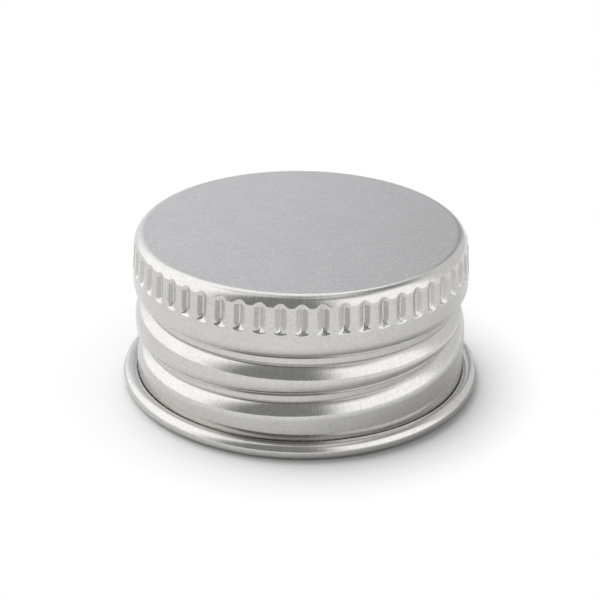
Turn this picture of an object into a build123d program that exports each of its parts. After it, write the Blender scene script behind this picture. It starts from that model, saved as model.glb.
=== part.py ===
from build123d import *
from math import acos, atan, ceil, cos, degrees, pi, radians, sin, sqrt, tan
import os

# A screw cap for a bottle neck, drawn, rolled and curled from one aluminium sheet.
# Millimetres, +Z up. The origin is the centre of the mouth, and the front faces -Y.
# Angles are in degrees, and those round the cap are counted from the front towards +X.
# Each bend of the sheet is made of a few straight folds, so that both its skins stay parallel.

# Sheet and drawn cup
sheet = 0.25
cup_diameter = 38.0
shoulder_radius = 1.5
shoulder_folds = 3

# Heights, stacked from the mouth to the top panel
skirt_height = 6.2
bead_height = 4.4
band_height = 7.8

# Rolled grooves: each has a flat root between two rounded beads
bead_radius = 2.15
bead_folds = 2
ring_depth = 1.12
ring_root = 0.6
thread_depth = 1.08
thread_root = 0.55

# Thread: a right-hand groove that fades out low at the back and runs up into the ring groove
thread_lead = 4.233
thread_fade_from = -180.0
thread_fade_to = -225.0
thread_run_in_to = 110.0
thread_step = 20.0

# Knurl: vee flutes pressed into the band
flute_count = 54
flute_turn = 0.5
flute_width = 1.4
flute_length = 3.11
flute_depth = 0.38
flute_crease = 0.1
flute_top_drop = 1.25

# Curl round the mouth: the sheet turns out, up and back towards the skirt
curl_overhang = 1.65
curl_turn = 315.0
curl_folds = 7

# How far a cutting body reaches past the sheet that it cuts
overrun = 0.15

cup_radius = cup_diameter / 2
ring_height = skirt_height + bead_height
cap_height = ring_height + band_height
curl_outside = (curl_overhang + sheet) / 2
curl_inside = (curl_overhang - sheet) / 2


def bend(centre, radius, start, sweep, folds):
    """The corners of a bend, between straight folds that touch an arc of the given radius."""
    step = radians(sweep) / folds
    turns = [radians(start) + step * (fold + 0.5) for fold in range(folds)]
    reach = radius / cos(step / 2)
    return [(centre[0] + reach * cos(turn), centre[1] + reach * sin(turn)) for turn in turns]


def groove_side(depth, root, inset, middle, side):
    """A groove's profile from the wall in to its root: side is 1 above the groove's middle and -1 below it."""
    spread = root / 2 + sqrt(bead_radius**2 - (bead_radius - depth) ** 2)
    centre = (cup_radius - bead_radius, middle + side * spread)
    radius = bead_radius - inset
    turn = acos((radius - depth) / radius)
    foot = (cup_radius - inset - depth, centre[1] - side * radius * sin(turn))
    return [*bend(centre, radius, 0, -side * degrees(turn), bead_folds), foot]


def thread_height(angle):
    """Height of the thread's middle: an even helix, with a steeper rise at the right into the ring groove."""
    run_in_rise = bead_height - thread_lead * thread_run_in_to / 360
    run_in_share = max(angle, 0) / thread_run_in_to
    return skirt_height + thread_lead * angle / 360 + run_in_rise * run_in_share**3


def thread_lift(angle):
    """How far the groove has come out of the sheet where it fades."""
    fade_share = max(0, (angle - thread_fade_from) / (thread_fade_to - thread_fade_from))
    return (thread_depth + overrun) * fade_share**2


def thread_side(inset, middle, side):
    """The thread's profile on one side, with its outermost fold carried on past the wall."""
    wall, fold, *rest = groove_side(thread_depth, thread_root, inset, middle, side)
    rise_share = (wall[1] - fold[1]) / (wall[0] - fold[0])
    return [(wall[0] + overrun, wall[1] + rise_share * overrun), fold, *rest]


def thread_groove(inset):
    """What the thread takes from the cup's outside, or from its core when inset by the sheet."""
    span = thread_run_in_to - thread_fade_to
    steps = ceil(span / thread_step)
    with BuildPart() as groove:
        for step in range(steps + 1):
            angle = thread_fade_to + span * step / steps
            middle = thread_height(angle)
            lift = thread_lift(angle)
            out = Vector(cos(radians(angle - 90)), sin(radians(angle - 90)), 0)
            with BuildSketch(Plane(origin=out * lift, x_dir=out, z_dir=out.cross(Vector(0, 0, 1)))):
                with BuildLine():
                    Polyline(
                        *thread_side(inset, middle, 1),
                        *reversed(thread_side(inset, middle, -1)),
                        close=True,
                    )
                make_face()
        loft()
    return groove.part


def flute(inset):
    """One flute as a solid vee with sloping ends, which narrows evenly from the wall to its crease."""
    flank = (flute_width - flute_crease) / 2 / flute_depth
    growth = 2 * inset * tan((pi / 2 - atan(flank)) / 2) + 2 * flank * overrun
    with BuildPart() as vee:
        with BuildSketch():
            Rectangle(flute_length + growth, flute_width + growth)
        extrude(amount=flute_depth + overrun, taper=degrees(atan(flank)))
    middle = cap_height - flute_top_drop - flute_length / 2
    wall = Plane(origin=(cup_radius - inset + overrun, 0, middle), x_dir=(0, 0, 1), z_dir=(-1, 0, 0))
    return wall.location * vee.part


def drawn_form(inset, floor):
    """The cup as a solid down to a floor height: its outside, or its core when inset by the sheet."""
    shoulder_centre = (cup_radius - shoulder_radius, cap_height - shoulder_radius)
    groove = thread_groove(inset)
    vee = flute(inset)
    with BuildPart() as form:
        with BuildSketch(Plane.XZ):
            with BuildLine():
                Polyline(
                    (0, floor),
                    (cup_radius - inset, floor),
                    *groove_side(ring_depth, ring_root, inset, ring_height, -1),
                    *reversed(groove_side(ring_depth, ring_root, inset, ring_height, 1)),
                    *bend(shoulder_centre, shoulder_radius - inset, 0, 90, shoulder_folds),
                    (0, cap_height - inset),
                    close=True,
                )
            make_face()
        revolve(axis=Axis.Z)
        add(groove, mode=Mode.SUBTRACT)
        with PolarLocations(0, flute_count, start_angle=flute_turn - 90):
            add(vee, mode=Mode.SUBTRACT)
    return form.part


# The cup keeps the sheet between its outside and its core, and the curl carries on from its lower edge
outside_form = drawn_form(0, curl_outside)
core_form = drawn_form(sheet, 0)
curl_centre = (cup_radius + curl_inside, curl_outside)
with BuildPart() as cap_shell:
    add(outside_form)
    add(core_form, mode=Mode.SUBTRACT)
    with BuildSketch(Plane.XZ):
        with BuildLine():
            Polyline(
                (cup_radius - sheet, curl_outside),
                *bend(curl_centre, curl_outside, 180, curl_turn, curl_folds),
                *reversed(bend(curl_centre, curl_inside, 180, curl_turn, curl_folds)),
                (cup_radius, curl_outside),
                close=True,
            )
        make_face()
    revolve(axis=Axis.Z)

os.makedirs("parts", exist_ok=True)
cap_shell.part.label = "cap_shell"
export_step(cap_shell.part, "parts/cap_shell.step")
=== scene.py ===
from math import acos, asin, atan2, cos, degrees, pi, radians, sin

import bpy
import numpy as np
from mathutils import Matrix, Vector


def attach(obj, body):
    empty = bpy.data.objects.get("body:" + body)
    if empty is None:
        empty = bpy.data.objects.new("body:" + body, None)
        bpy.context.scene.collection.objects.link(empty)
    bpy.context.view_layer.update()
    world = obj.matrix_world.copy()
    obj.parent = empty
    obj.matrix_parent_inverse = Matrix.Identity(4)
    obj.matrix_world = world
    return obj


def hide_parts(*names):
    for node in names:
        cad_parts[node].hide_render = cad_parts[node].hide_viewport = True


# A drawn, rolled and curled aluminium screw cap on a white table.
# Sizes are in millimetres and become metres when the mesh is made. +Z is up and the front faces -Y.
# Angles are in degrees, and those round the cap are counted from the front towards +X.
METRES = 0.001
UP = (0.0, 0.0, 1.0)

# The sheet and its bends, as in the solid, with true arcs in place of straight folds
sheet = 0.25
cup_radius = 19.0
cap_height = 18.4
skirt_height = 6.2
ring_height = 10.6
bead_radius = 2.2
crest_radius = 0.5
ring_depth = 1.12
ring_root = 0.6
curl_centre = (19.70, 0.95)
curl_inside = 0.70
curl_lip = 133.0

# The thread: low at the back it fades to a trace, where its directions turn level, and at the right it
# rises and blends into the ring groove
thread_depth = 1.08
thread_root = 0.55
thread_lead = 4.233
thread_fade_from = -180.0
thread_fade_to = -225.0
thread_fade_most = 0.98
thread_level_power = 4
thread_run_in_to = 110.0
thread_run_in_power = 3
thread_blend_from = 50.0
thread_blend_to = 80.0

# The band: its foot stands a little proud, the knurl draws its top in, and the shoulder is taller than wide
band_edge_radius = 2.0
band_swell = 0.1
band_draw = 0.1
band_draw_from = 14.0
shoulder_width = 1.35
shoulder_height = 1.62

# Vee flutes, pressed straight in: a nicked crease between two flanks, which runs out in the shoulder and
# ends in a short round foot
flute_count = 54
flute_pitch = 360 / flute_count
flute_turn = 0.5
flute_half_width = 0.72
flute_depth = 0.35
flute_nick = 0.04
flute_nick_half_width = 0.10
flute_crease_from = 14.53
flute_crease_to = 16.95
flute_top_run = 1.4
flute_foot_run = 0.30
flute_lip = 0.08

# The duller part of a flank, which also takes the painted shade, keeps clear of the nick, the foot and the
# shoulder
flank_nick_gap = 0.11
flank_foot_gap = 0.03
flank_top_gap = 0.1

# Mesh fineness: columns of the knurl's outer skin from a flute's middle, and heights of the rows up to the
# shoulder. The wall below and the inner skin have every second column, the inner skin every second row.
flute_columns = (0.0, 0.05, 0.10, 0.16, 0.46, 0.62, 0.73, 0.86)
foot_rows = (13.6, 13.95, 14.06, 14.12, 14.18, 14.24, 14.30, 14.36, 14.42, 14.50, 15.2, 16.0, 16.5)
arch_turn = 36.0
arch_rows = 14
shoulder_rows = 11
seam_flute = 18
curl_rows = 21
skirt_rows = 6
flank_rows = 8
crest_rows = 5
root_rows = 3
thread_rows = root_rows + flank_rows

# Steps that the slopes of the surfaces are taken over, in millimetres or degrees
band_slope_step = 0.002
wall_slope_step = 0.02

# Fineness of the studio's cards and of the table's edge
card_columns = 41
card_rows = 31
table_sides = 96

# The metal's finish: cycles of its noises in a metre, or in a millimetre of wall, and the relief in metres;
# its colours, and the painted shade on the panel and on the flutes' flanks
panel_grain = (2400.0, 5600.0, 1000.0)
wall_grain = (9.0, 3.5, 1.0)
mottle_cycles = 3000.0
cloud_cycles = 350.0
pit_cycles = 2600.0
relief = 0.0000018
metal_dark = (0.41, 0.403, 0.390)
metal_light = (0.74, 0.728, 0.705)
# Painted shade on whatever faces up, taken off the tone of the panel
panel_painted_shade = 0.285
# Painted shade in the flutes' grooves, taken off the tone of their flanks
flank_painted_shade = 0.20
flank_duller = 0.38


def arc(centre, radius, start, end, count, side=1):
    """Rows along an arc of the section as (r, z, outward r, outward z); side -1 faces the centre."""
    rows = []
    for turn in np.radians(np.linspace(start, end, count)):
        r, z = cos(turn), sin(turn)
        rows.append((centre[0] + radius * r, centre[1] + radius * z, side * r, side * z))
    return rows


def wall(radius, low, high, count):
    """Rows up a straight piece of wall."""
    return [(radius, z, 1.0, 0.0) for z in np.linspace(low, high, count)]


def levelled(rows, share):
    """Rows whose outward directions turn level by a share."""
    turns = [atan2(out_z, out_r) * (1 - share) for _, _, out_r, out_z in rows]
    return [(r, z, cos(turn), sin(turn)) for (r, z, _, _), turn in zip(rows, turns)]


def ease(value, start, end):
    """A smooth step from 0 at start to 1 at end."""
    share = min(max((value - start) / (end - start), 0.0), 1.0)
    return share * share * (3 - 2 * share)


def turned(r, z, angles):
    """Places or directions of a section, turned round the cap's axis."""
    return np.stack((r * np.sin(np.radians(angles)), -r * np.cos(np.radians(angles)), z), axis=-1)


def thread_height(angle):
    """Height of the thread's middle: an even helix, and at the right a steeper rise to the ring groove."""
    run_in_rise = ring_height - skirt_height - thread_lead * thread_run_in_to / 360
    run_in_share = max(angle, 0) / thread_run_in_to
    return skirt_height + thread_lead * angle / 360 + run_in_rise * run_in_share**thread_run_in_power


def flank(depth, radius):
    """How far a round flank turns, in degrees, and how tall it is, from the wall to a groove's root."""
    turn = acos(1 - depth / radius)
    return degrees(turn), radius * sin(turn)


def between_grooves(middle, root, turn, height, lift, opening):
    """The thread's root, its upper flank, the bead above it and the ring groove's lower flank."""
    ring_turn, ring_flank = flank(ring_depth, bead_radius)
    ring_foot = ring_height - ring_root / 2
    axis = cup_radius - bead_radius
    low, high = middle + root / 2 + height, ring_foot - ring_flank
    crest_middle = (low + high) / 2
    overlap = (low - high) / 2
    reach = bead_radius - crest_radius
    floor = axis + lift + bead_radius * cos(radians(turn))
    if overlap <= 0:
        above = arc((axis + lift, low), bead_radius, -turn, -opening, flank_rows)
        below = arc((axis, high), bead_radius, 0.0, ring_turn, flank_rows)
        crest = wall(cup_radius, above[-1][1], high, crest_rows)
    elif overlap < reach * sin(radians(turn)):
        tilt = degrees(asin(overlap / reach))
        above = arc((axis, low), bead_radius, -turn, -tilt, flank_rows)
        below = arc((axis, high), bead_radius, tilt, ring_turn, flank_rows)
        crest_axis = axis + reach * cos(radians(tilt))
        crest = arc((crest_axis, crest_middle), crest_radius, -tilt, tilt, crest_rows)
    else:
        # The bead has sunk to a low ridge, and then to nothing
        sunk = axis + (reach**2 - min(overlap, reach) ** 2) ** 0.5
        tilt = degrees(acos(min((floor - sunk) / crest_radius, 1.0)))
        crest = arc((sunk, crest_middle), crest_radius, -tilt, tilt, crest_rows)
        if not tilt:
            ridge = min(crest_middle, ring_foot)
            crest = wall(floor, ridge, ridge, crest_rows)
        above = wall(floor, crest[0][1], crest[0][1], flank_rows)
        below = wall(floor, crest[-1][1], crest[-1][1], flank_rows)
    return wall(floor, middle - root / 2, above[0][1], root_rows) + above + crest + below


def lower_section(angle):
    """The outer skin from the lip of the curl up to the band, at one angle round the cap."""
    angle = min(max(angle, thread_fade_to), thread_run_in_to)
    blend = ease(angle, thread_blend_from, thread_blend_to)
    depth = thread_depth + (ring_depth - thread_depth) * blend
    root = thread_root + (ring_root - thread_root) * blend
    fade_share = max(0.0, (angle - thread_fade_from) / (thread_fade_to - thread_fade_from))
    lift = depth * min(fade_share, thread_fade_most) ** 2
    middle = thread_height(angle)
    turn, height = flank(depth, bead_radius)
    opening = degrees(acos(1 - lift / bead_radius))

    rows = arc(curl_centre, curl_inside, curl_lip, -180.0, curl_rows, -1)
    foot = (cup_radius - bead_radius + lift, middle - root / 2 - height)
    below = arc(foot, bead_radius, opening, turn, flank_rows)
    above = between_grooves(middle, root, turn, height, lift, opening)
    rows += wall(cup_radius, curl_centre[1], below[0][1], skirt_rows)[1:-1]
    rows += levelled(below + above[:thread_rows], fade_share**thread_level_power) + above[thread_rows:]
    rows += wall(cup_radius - ring_depth, rows[-1][1], ring_height + ring_root / 2, root_rows)
    edge_turn, edge_height = flank(ring_depth + band_swell, band_edge_radius)
    edge = (cup_radius + band_swell - band_edge_radius, ring_height + ring_root / 2 + edge_height)
    return rows + arc(edge, band_edge_radius, -edge_turn, 0.0, flank_rows)


def lower_points(angles):
    """Points from the curl's lip up to the band, and the section's own direction at each."""
    sections = np.array([lower_section(angle) for angle in angles]).transpose(1, 0, 2)
    r, z, out_r, out_z = (sections[..., part] for part in range(4))
    return turned(r, z, angles), turned(-out_z, out_r, angles)


def lower_grid(angles):
    """Points and outward directions from the curl's lip up to the band."""
    points, upward = lower_points(angles)
    around = lower_points(angles + wall_slope_step)[0] - lower_points(angles - wall_slope_step)[0]
    out = np.cross(around, upward)
    return points, out / np.linalg.norm(out, axis=-1, keepdims=True)


def flute_press(across, height, fall):
    """How far the knurl presses the sheet in, at a distance across from a flute's middle and beyond the
    shoulder's own fall."""
    over = np.maximum(height - flute_crease_to, 0) / flute_top_run
    under = np.maximum(flute_crease_from - height, 0) / flute_foot_run
    away = np.sqrt((across / flute_half_width) ** 2 + over**2 + under**2)
    press = flute_depth * (1 - away) - fall
    rounded = np.maximum(press + flute_lip, 0) ** 2 / (4 * flute_lip)
    nick = flute_nick * np.maximum(1 - np.abs(across) / flute_nick_half_width, 0)
    return nick * (over + under == 0) + np.where(press > flute_lip, press, rounded)


def from_flute(angles):
    """How far round the cap an angle is from the middle of the nearest flute."""
    turn = (angles - flute_turn + flute_pitch / 2) % flute_pitch - flute_pitch / 2
    return turn * pi / 180 * cup_radius


def band_points(angles, along):
    """The knurled band and the shoulder, by angle and by length along the wall."""
    bend_from = cap_height - shoulder_height
    turn = np.maximum(along - bend_from, 0) / shoulder_height
    drawn = np.clip((along - band_draw_from) / (bend_from - band_draw_from), 0, 1)
    band_radius = cup_radius + band_swell - (band_swell + band_draw) * drawn**2 * (3 - 2 * drawn)
    fall = shoulder_width * (1 - np.cos(turn))
    z = np.minimum(along, bend_from) + shoulder_height * np.sin(turn)
    r = band_radius - fall - flute_press(from_flute(angles), z, fall)
    return turned(r, z, angles)


def band_grid(angles, along):
    """Points and outward directions of the band."""
    angles, along = np.meshgrid(angles, along)
    step = band_slope_step
    around = band_points(angles + step, along) - band_points(angles - step, along)
    upward = band_points(angles, along + step) - band_points(angles, along - step)
    out = np.cross(around, upward)
    return band_points(angles, along), out / np.linalg.norm(out, axis=-1, keepdims=True)


def inner_skin(grid):
    """The other side of the sheet."""
    points, outs = grid
    return points - sheet * outs, -outs


def grid_faces(numbers):
    """Faces between the rows of a grid, by the numbers of its points."""
    low, high = numbers[:-1], numbers[1:]
    return np.stack((low[:, :-1], low[:, 1:], high[:, 1:], high[:, :-1]), axis=-1).reshape(-1, 4)


class Sheet:
    """Collects the cap's two skins as one mesh with its own shading directions."""

    def __init__(self):
        self.points, self.outs, self.faces, self.count = [], [], [], 0

    def add(self, points, outs):
        """Adds a grid of points and returns their numbers."""
        numbers = np.arange(points[..., 0].size).reshape(points.shape[:-1]) + self.count
        self.points.append(points.reshape(-1, 3))
        self.outs.append(outs.reshape(-1, 3))
        self.count += numbers.size
        return numbers

    def strip(self, numbers, inward):
        """Keeps the faces between the rows of a grid."""
        self.take(grid_faces(numbers), inward)

    def take(self, faces, inward):
        """Keeps faces, turned round if they belong to the inner skin."""
        self.faces += [tuple(reversed(face)) if inward else tuple(face) for face in faces.tolist()]

    def skin(self, lower, band, inward):
        """One skin: the curl and grooves, the knurled band and shoulder, and the top panel."""
        low = self.add(*lower)
        high = self.add(*band)
        high = np.concatenate((high, high[:, :1]), axis=1)
        self.strip(low, inward)
        self.strip(high, inward)

        # Where the columns are finer above, fans join the two edges
        edge, fine = low[-1], high[0]
        share = (fine.size - 1) // (edge.size - 1)
        middle = share // 2
        self.take(np.stack((edge[:-1], edge[1:], fine[middle:-1:share]), axis=-1), inward)
        for step in range(share):
            near = edge[:-1] if step < middle else edge[1:]
            fan = np.stack((near, fine[step + 1 :: share], fine[step:-1:share]), axis=-1)
            self.take(fan, inward)

        up = np.array([UP])
        centre = self.add(up * band[0][-1, 0, 2], -up if inward else up)
        rim = high[-1]
        self.take(np.stack((rim[:-1], rim[1:], np.full(rim.size - 1, centre[0])), axis=-1), inward)

    def lip(self, outer, inner):
        """The cut edge of the sheet, at the end of the curl."""
        edge = np.stack((inner[0][0], outer[0][0]))
        ahead = outer[0][0] - outer[0][1]
        ahead = ahead / np.linalg.norm(ahead, axis=-1, keepdims=True)
        self.strip(self.add(edge, np.stack((ahead, ahead))), False)


def cap_sheet():
    """The points, outward directions and faces of the whole cap."""
    turns = [degrees(column / cup_radius) for column in flute_columns]
    turns += [flute_pitch / 2] + [flute_pitch - turn for turn in turns[:0:-1]]
    start = flute_turn + (seam_flute - flute_count) * flute_pitch
    flutes = start + np.arange(flute_count) * flute_pitch
    angles = np.add.outer(flutes, turns).ravel()
    lower = lower_grid(np.append(angles[::2], start + 360))
    inside = inner_skin([part[::2] for part in lower])

    bends = np.linspace(0.0, arch_turn, arch_rows)
    bends = np.append(bends, np.linspace(arch_turn, 90.0, shoulder_rows)[1:])
    bends = cap_height - shoulder_height + shoulder_height * np.radians(bends)
    along = np.append(foot_rows, bends)
    made = Sheet()
    made.skin(lower, band_grid(angles, along), False)
    made.skin(inside, inner_skin(band_grid(angles[::2], along[::2])), True)
    made.lip(lower, inside)
    return made


def cap_mesh():
    """The cap's mesh, with its places round the wall and on the flutes' flanks, for the finish and painted
    shade.
    """
    made = cap_sheet()
    points = np.concatenate(made.points)
    mesh = bpy.data.meshes.new("cap_shell_sheet")
    mesh.from_pydata((points * METRES).tolist(), [], made.faces)
    mesh.shade_smooth()
    mesh.normals_split_custom_set_from_vertices(np.concatenate(made.outs).tolist())

    x, y, z = points.T
    turn = np.arctan2(x, -y)
    across = from_flute(np.degrees(turn))
    bent = np.clip((z - cap_height) / shoulder_height + 1, 0, 1)
    pressed = flute_press(across, z, shoulder_width * (1 - np.sqrt(1 - bent**2)))
    flanks = (z > flute_crease_from + flank_foot_gap) & (z < flute_crease_to + flank_top_gap)
    pressed[(np.abs(across) < flank_nick_gap) | ~flanks] = 0.0
    places = {
        "around": (turn * cup_radius, z + np.hypot(x, y)),
        "pressed": (pressed / flute_depth, np.zeros_like(turn)),
    }
    corner = np.empty(len(mesh.loops), dtype=int)
    mesh.loops.foreach_get("vertex_index", corner)
    for name, place in places.items():
        layer = mesh.uv_layers.new(name=name)
        layer.data.foreach_set("uv", np.stack(place, axis=-1)[corner].astype(np.float32).ravel())
    return mesh


class Shader:
    """A short way to lay out a material's or world's nodes."""

    def __init__(self, tree):
        self.tree = tree
        tree.nodes.clear()

    def node(self, kind, inputs=None, **settings):
        """Adds a node; an input is another node's output or a plain value."""
        made = self.tree.nodes.new(kind)
        for name, value in settings.items():
            setattr(made, name, value)
        for name, value in (inputs or {}).items():
            if isinstance(value, bpy.types.NodeSocket):
                self.tree.links.new(value, made.inputs[name])
            else:
                made.inputs[name].default_value = value
        return made

    def place(self, name):
        """A place kept in the mesh under a name."""
        return self.node("ShaderNodeUVMap", uv_map=name).outputs["UV"]

    def parts(self, vector):
        """The X, Y and Z of a vector."""
        return self.node("ShaderNodeSeparateXYZ", {0: vector}).outputs

    def noise(self, place, cycles, detail=2.0, wander=0.0):
        """Noise between 0 and 1, by its cycles along each axis."""
        scaled = self.node("ShaderNodeMapping", {"Vector": place, "Scale": cycles}).outputs["Vector"]
        settings = {"Vector": scaled, "Scale": 1.0, "Detail": detail, "Distortion": wander}
        return self.node("ShaderNodeTexNoise", settings).outputs["Fac"]

    def span(self, value, low, high, to_low=0.0, to_high=1.0):
        """A value carried over from one span to another, and held at its ends."""
        settings = {"Value": value, "From Min": low, "From Max": high}
        settings.update({"To Min": to_low, "To Max": to_high})
        return self.node("ShaderNodeMapRange", settings).outputs["Result"]

    def math(self, operation, first, second):
        """Two values taken together."""
        return self.node("ShaderNodeMath", {0: first, 1: second}, operation=operation).outputs[0]

    def total(self, *shares):
        """A sum of values, each times its weight."""
        made = 0.0
        for value, weight in shares:
            terms = {0: value, 1: weight, 2: made}
            made = self.node("ShaderNodeMath", terms, operation="MULTIPLY_ADD").outputs[0]
        return made

    def vector(self, operation, first, second, output="Vector"):
        """Two vectors taken together."""
        made = self.node("ShaderNodeVectorMath", {0: first, 1: second}, operation=operation)
        return made.outputs[output]

    def ramp(self, value, low, high):
        """A colour between two others."""
        made = self.node("ShaderNodeValToRGB", {"Fac": value})
        made.color_ramp.elements[0].color = (*low, 1.0)
        made.color_ramp.elements[1].color = (*high, 1.0)
        return made.outputs["Color"]

    def mixed(self, share, first, second):
        """The first of two surfaces, and a share of the second."""
        terms = {0: share, 1: first.outputs[0], 2: second.outputs[0]}
        return self.node("ShaderNodeMixShader", terms).outputs["Shader"]


def new_material(name):
    """An empty material and the means to fill it."""
    material = bpy.data.materials.new(name)
    material.use_nodes = True
    return material, Shader(material.node_tree)


def aluminium():
    """Satin aluminium: straight rolling grain on the panel, drawing lines up the walls, fine pits."""
    material, shader = new_material("aluminium_sheet")
    place = shader.node("ShaderNodeTexCoord").outputs["Object"]
    facing = shader.node("ShaderNodeNewGeometry").outputs["Normal"]

    # What faces up is the panel
    panel = shader.span(shader.parts(facing)["Z"], 0.93, 0.99)

    # The grain's lines run along X on the panel and up the walls, and they spread light across themselves
    rolled = shader.noise(place, panel_grain, 3.0, 0.6)
    rolled = shader.span(rolled, 0.1, 0.9, 0.1, 0.9)
    drawn = shader.noise(shader.place("around"), wall_grain, 3.0)
    grain = shader.node("ShaderNodeMix", {"Factor": panel, "A": drawn, "B": rolled}).outputs["Result"]
    over_panel = shader.vector("MULTIPLY", (0.0, 1.0, 0.0), panel)
    across = shader.vector("ADD", shader.vector("CROSS_PRODUCT", UP, facing), over_panel)

    # The flanks of the flutes are duller than the rest, and spread light up and down
    pressed = shader.span(shader.parts(shader.place("pressed"))["X"], 0.05, 0.25)
    spread = shader.node("ShaderNodeMix", {0: pressed, 4: across, 5: UP}, data_type="VECTOR").outputs[1]

    mottle = shader.noise(place, (mottle_cycles,) * 3)
    cloud = shader.noise(place, (cloud_cycles,) * 3)
    pits = shader.span(shader.noise(place, (pit_cycles,) * 3, 1.0), 0.70, 0.78)
    height = shader.total((grain, 1.0), (mottle, 0.3), (pits, -0.5))
    bump = shader.node("ShaderNodeBump", {"Strength": 1.0, "Distance": relief, "Height": height})

    # Painted shade: the panel, which is whatever faces up, and the flutes' flanks are darker in tone than
    # the plain walls
    tone = shader.total((grain, 0.30), (cloud, 0.1), (mottle, 0.25), (pits, -0.4))
    tone = shader.span(tone, 0.185, 0.585, 0.333, 1.0)
    tone = shader.total((tone, 1.0), (pressed, -flank_painted_shade), (panel, -panel_painted_shade))
    gloss = shader.span(grain, 0.38, 0.62, 0.10, 0.18)
    settings = {
        "Base Color": shader.ramp(tone, metal_dark, metal_light),
        "Metallic": 1.0,
        "Roughness": shader.total((gloss, 1.0), (pressed, flank_duller)),
        "Anisotropic": 0.65,
        "Tangent": spread,
        "Normal": bump.outputs["Normal"],
    }
    surface = shader.node("ShaderNodeBsdfPrincipled", settings)
    shader.node("ShaderNodeOutputMaterial", {"Surface": surface.outputs["BSDF"]})
    return material


def soft_card(name, colour, radiance):
    """A studio card whose light fades out towards its edges."""
    material, shader = new_material(name)
    inside = shader.parts(shader.place("inside"))
    share = shader.math("MULTIPLY", inside["X"], inside["Y"])
    clear = shader.node("ShaderNodeBsdfTransparent")
    light = shader.node("ShaderNodeEmission", {"Color": (*colour, 1.0), "Strength": radiance})
    shader.node("ShaderNodeOutputMaterial", {"Surface": shader.mixed(share, clear, light)})
    return material


def table_white():
    """White paper: pure white where it is looked at or mirrored, though what is mirrored has a painted
    shadow towards the right, and close round the cap plain lit paper, which takes the shadow."""
    shadow_from, shadow_to = 0.0210, 0.0285
    painted_shadow_middle, painted_shadow_from, painted_shadow_to = (0.018, 0.010, 0.0), 0.021, 0.060
    material, shader = new_material("white_table")
    path = shader.node("ShaderNodeLightPath").outputs
    place = shader.node("ShaderNodeNewGeometry").outputs["Position"]
    away = shader.vector("DISTANCE", place, (0.0, 0.0, 0.0), "Value")
    clear_of_cap = shader.math("POWER", shader.span(away, shadow_from, shadow_to), 0.5)
    looked_at = shader.math("MAXIMUM", path["Is Camera Ray"], path["Is Transmission Ray"])
    looked_at = shader.math("MULTIPLY", looked_at, clear_of_cap)

    # Painted shadow: in what the metal mirrors, the paper's white glow is taken away round a place towards
    # the right, leaving plain lit paper there in place of the cap's wide soft shade
    away = shader.vector("DISTANCE", place, painted_shadow_middle, "Value")
    mirrored = shader.math("MULTIPLY", clear_of_cap, shader.span(away, painted_shadow_from, painted_shadow_to))
    mirrored = shader.math("MULTIPLY", path["Is Glossy Ray"], mirrored)
    share = shader.math("ADD", looked_at, mirrored)
    paper = shader.node("ShaderNodeBsdfDiffuse", {"Color": (0.88, 0.88, 0.88, 1.0)})
    white = shader.node("ShaderNodeEmission", {"Color": (1.0, 1.0, 1.0, 1.0), "Strength": 1.0})
    shader.node("ShaderNodeOutputMaterial", {"Surface": shader.mixed(share, paper, white)})
    return material


def direction(azimuth, elevation):
    """A direction from the cap, by angle from the front and height above the table."""
    side, rise = radians(azimuth), radians(elevation)
    return Vector((sin(side) * cos(rise), -cos(side) * cos(rise), sin(rise)))


def softbox(name, azimuth, elevation, distance, width, height, radiance):
    """A large soft lamp that faces the cap."""
    lamp = bpy.data.lights.new(name, "AREA")
    lamp.shape = "RECTANGLE"
    lamp.size, lamp.size_y = width, height
    lamp.energy = radiance * pi * width * height
    made = bpy.data.objects.new(name, lamp)
    towards = direction(azimuth, elevation)
    aim = towards.to_track_quat("Z", "Y").to_matrix().to_4x4()
    made.matrix_world = Matrix.Translation(towards * distance) @ aim
    made.visible_glossy = False
    bpy.context.collection.objects.link(made)


def card(name, azimuths, elevations, fades, radiance, distance, colour=(1.0, 1.0, 1.0)):
    """A soft card of the studio that only the metal mirrors; its edges fade out over some degrees."""
    sides, rises = np.linspace(*azimuths, card_columns), np.linspace(*elevations, card_rows)
    points = [direction(side, rise) * distance for rise in rises for side in sides]
    numbers = np.arange(len(points)).reshape(card_rows, card_columns)
    mesh = bpy.data.meshes.new(name)
    mesh.from_pydata(points, [], grid_faces(numbers).tolist())
    inside = mesh.uv_layers.new(name="inside").data
    for loop in mesh.loops:
        row, column = divmod(loop.vertex_index, card_columns)
        side, rise = sides[column], rises[row]
        across = ease(min(side - azimuths[0], azimuths[1] - side), 0.0, fades[0])
        upward = ease(min(rise - elevations[0], elevations[1] - rise), 0.0, fades[1])
        inside[loop.index].uv = (across, upward)
    mesh.materials.append(soft_card(name, colour, radiance))
    made = bpy.data.objects.new(name, mesh)
    made.visible_camera = made.visible_diffuse = made.visible_shadow = False
    bpy.context.collection.objects.link(made)


def table_top(radius):
    """A plain round table under the cap."""
    mesh = bpy.data.meshes.new("table")
    turns = np.linspace(0, 2 * pi, table_sides + 1)[:-1]
    points = [(radius * cos(turn), radius * sin(turn), 0.0) for turn in turns]
    mesh.from_pydata(points, [], [tuple(range(table_sides))])
    mesh.materials.append(table_white())
    made = bpy.data.objects.new("table", mesh)
    bpy.context.collection.objects.link(made)
    return made


def studio_room(grey):
    """The world: white where it is looked at, and a dim grey room for the rest."""
    world = bpy.data.worlds.new("studio")
    world.use_nodes = True
    shader = Shader(world.node_tree)
    looked_at = shader.node("ShaderNodeLightPath").outputs["Is Camera Ray"]
    room = shader.node("ShaderNodeBackground", {"Color": (grey, grey, grey, 1.0), "Strength": 1.0})
    white = shader.node("ShaderNodeBackground", {"Color": (1.0, 1.0, 1.0, 1.0), "Strength": 1.0})
    shader.node("ShaderNodeOutputWorld", {"Surface": shader.mixed(looked_at, room, white)})
    bpy.context.scene.world = world


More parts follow.
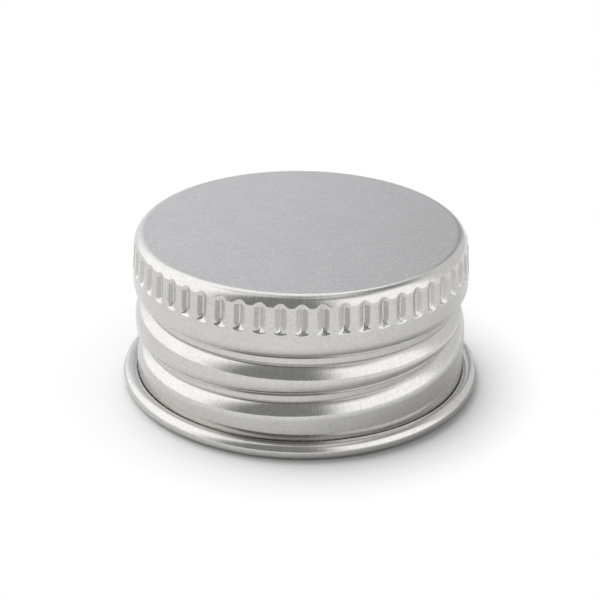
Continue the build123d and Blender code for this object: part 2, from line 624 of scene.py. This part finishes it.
def studio_camera():
    """The camera at the photograph's place: its tilt, distance, roll and length of lens."""
    tilt, roll = radians(25.6), radians(0.67)
    distance, aim = 0.1724, Vector((-0.000065, 0.0, 0.00919))
    back = Vector((0.0, -cos(tilt), sin(tilt)))
    level, rising = Vector((1.0, 0.0, 0.0)), Vector((0.0, sin(tilt), cos(tilt)))
    right = cos(roll) * level + sin(roll) * rising
    upward = cos(roll) * rising - sin(roll) * level
    lens = bpy.data.cameras.new("camera")
    lens.sensor_width = 36.0
    lens.lens = 89.474
    lens.clip_start = 0.005
    made = bpy.data.objects.new("camera", lens)
    made.matrix_world = Matrix((right, upward, back)).transposed().to_4x4()
    made.location = aim + back * distance
    bpy.context.collection.objects.link(made)
    bpy.context.scene.camera = made


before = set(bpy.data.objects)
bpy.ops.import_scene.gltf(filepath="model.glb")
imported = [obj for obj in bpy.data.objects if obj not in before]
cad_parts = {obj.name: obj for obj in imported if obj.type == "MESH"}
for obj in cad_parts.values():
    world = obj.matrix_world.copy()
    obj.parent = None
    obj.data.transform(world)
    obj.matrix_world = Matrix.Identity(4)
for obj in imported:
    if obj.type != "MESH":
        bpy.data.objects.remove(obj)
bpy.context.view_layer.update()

cap = bpy.data.objects.new("cap_shell_fine", cap_mesh())
cap.data.materials.append(aluminium())
bpy.context.collection.objects.link(cap)
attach(cap, "root")
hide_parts("cap_shell")

table_top(4.0)

# Cards by their span round the cap and in height, their fading edges, light and distance in metres
card("card_left", (-160.0, -38.0), (-25.0, 80.0), (36.0, 25.0), 1.54, 1.5)
card("card_right", (8.0, 112.0), (-26.0, 68.0), (26.0, 26.0), 1.46, 1.5)
card("card_dark", (-58.0, 30.0), (-30.0, 84.0), (26.0, 14.0), 0.30, 1.6)
card("card_zenith", (-180.0, 180.0), (62.0, 90.0), (0.1, 14.0), 0.9, 1.75)
card("card_side", (90.0, 165.0), (-20.0, 60.0), (20.0, 20.0), 0.85, 1.6)
card("card_back", (146.0, 262.0), (-20.0, 48.0), (44.0, 16.0), 1.06, 1.7, (0.93, 0.942, 1.0))
card("card_above", (140.0, 250.0), (32.0, 88.0), (20.0, 14.0), 1.5, 1.8)

# Lamps by their direction, distance, width and height in metres, and light
softbox("softbox_back", -150.0, 55.0, 0.9, 1.0, 0.9, 2.2)
softbox("softbox_left", -95.0, 35.0, 0.9, 1.2, 1.0, 1.0)

studio_room(grey=0.32)
studio_camera()
bpy.context.scene.view_settings.view_transform = "Standard"
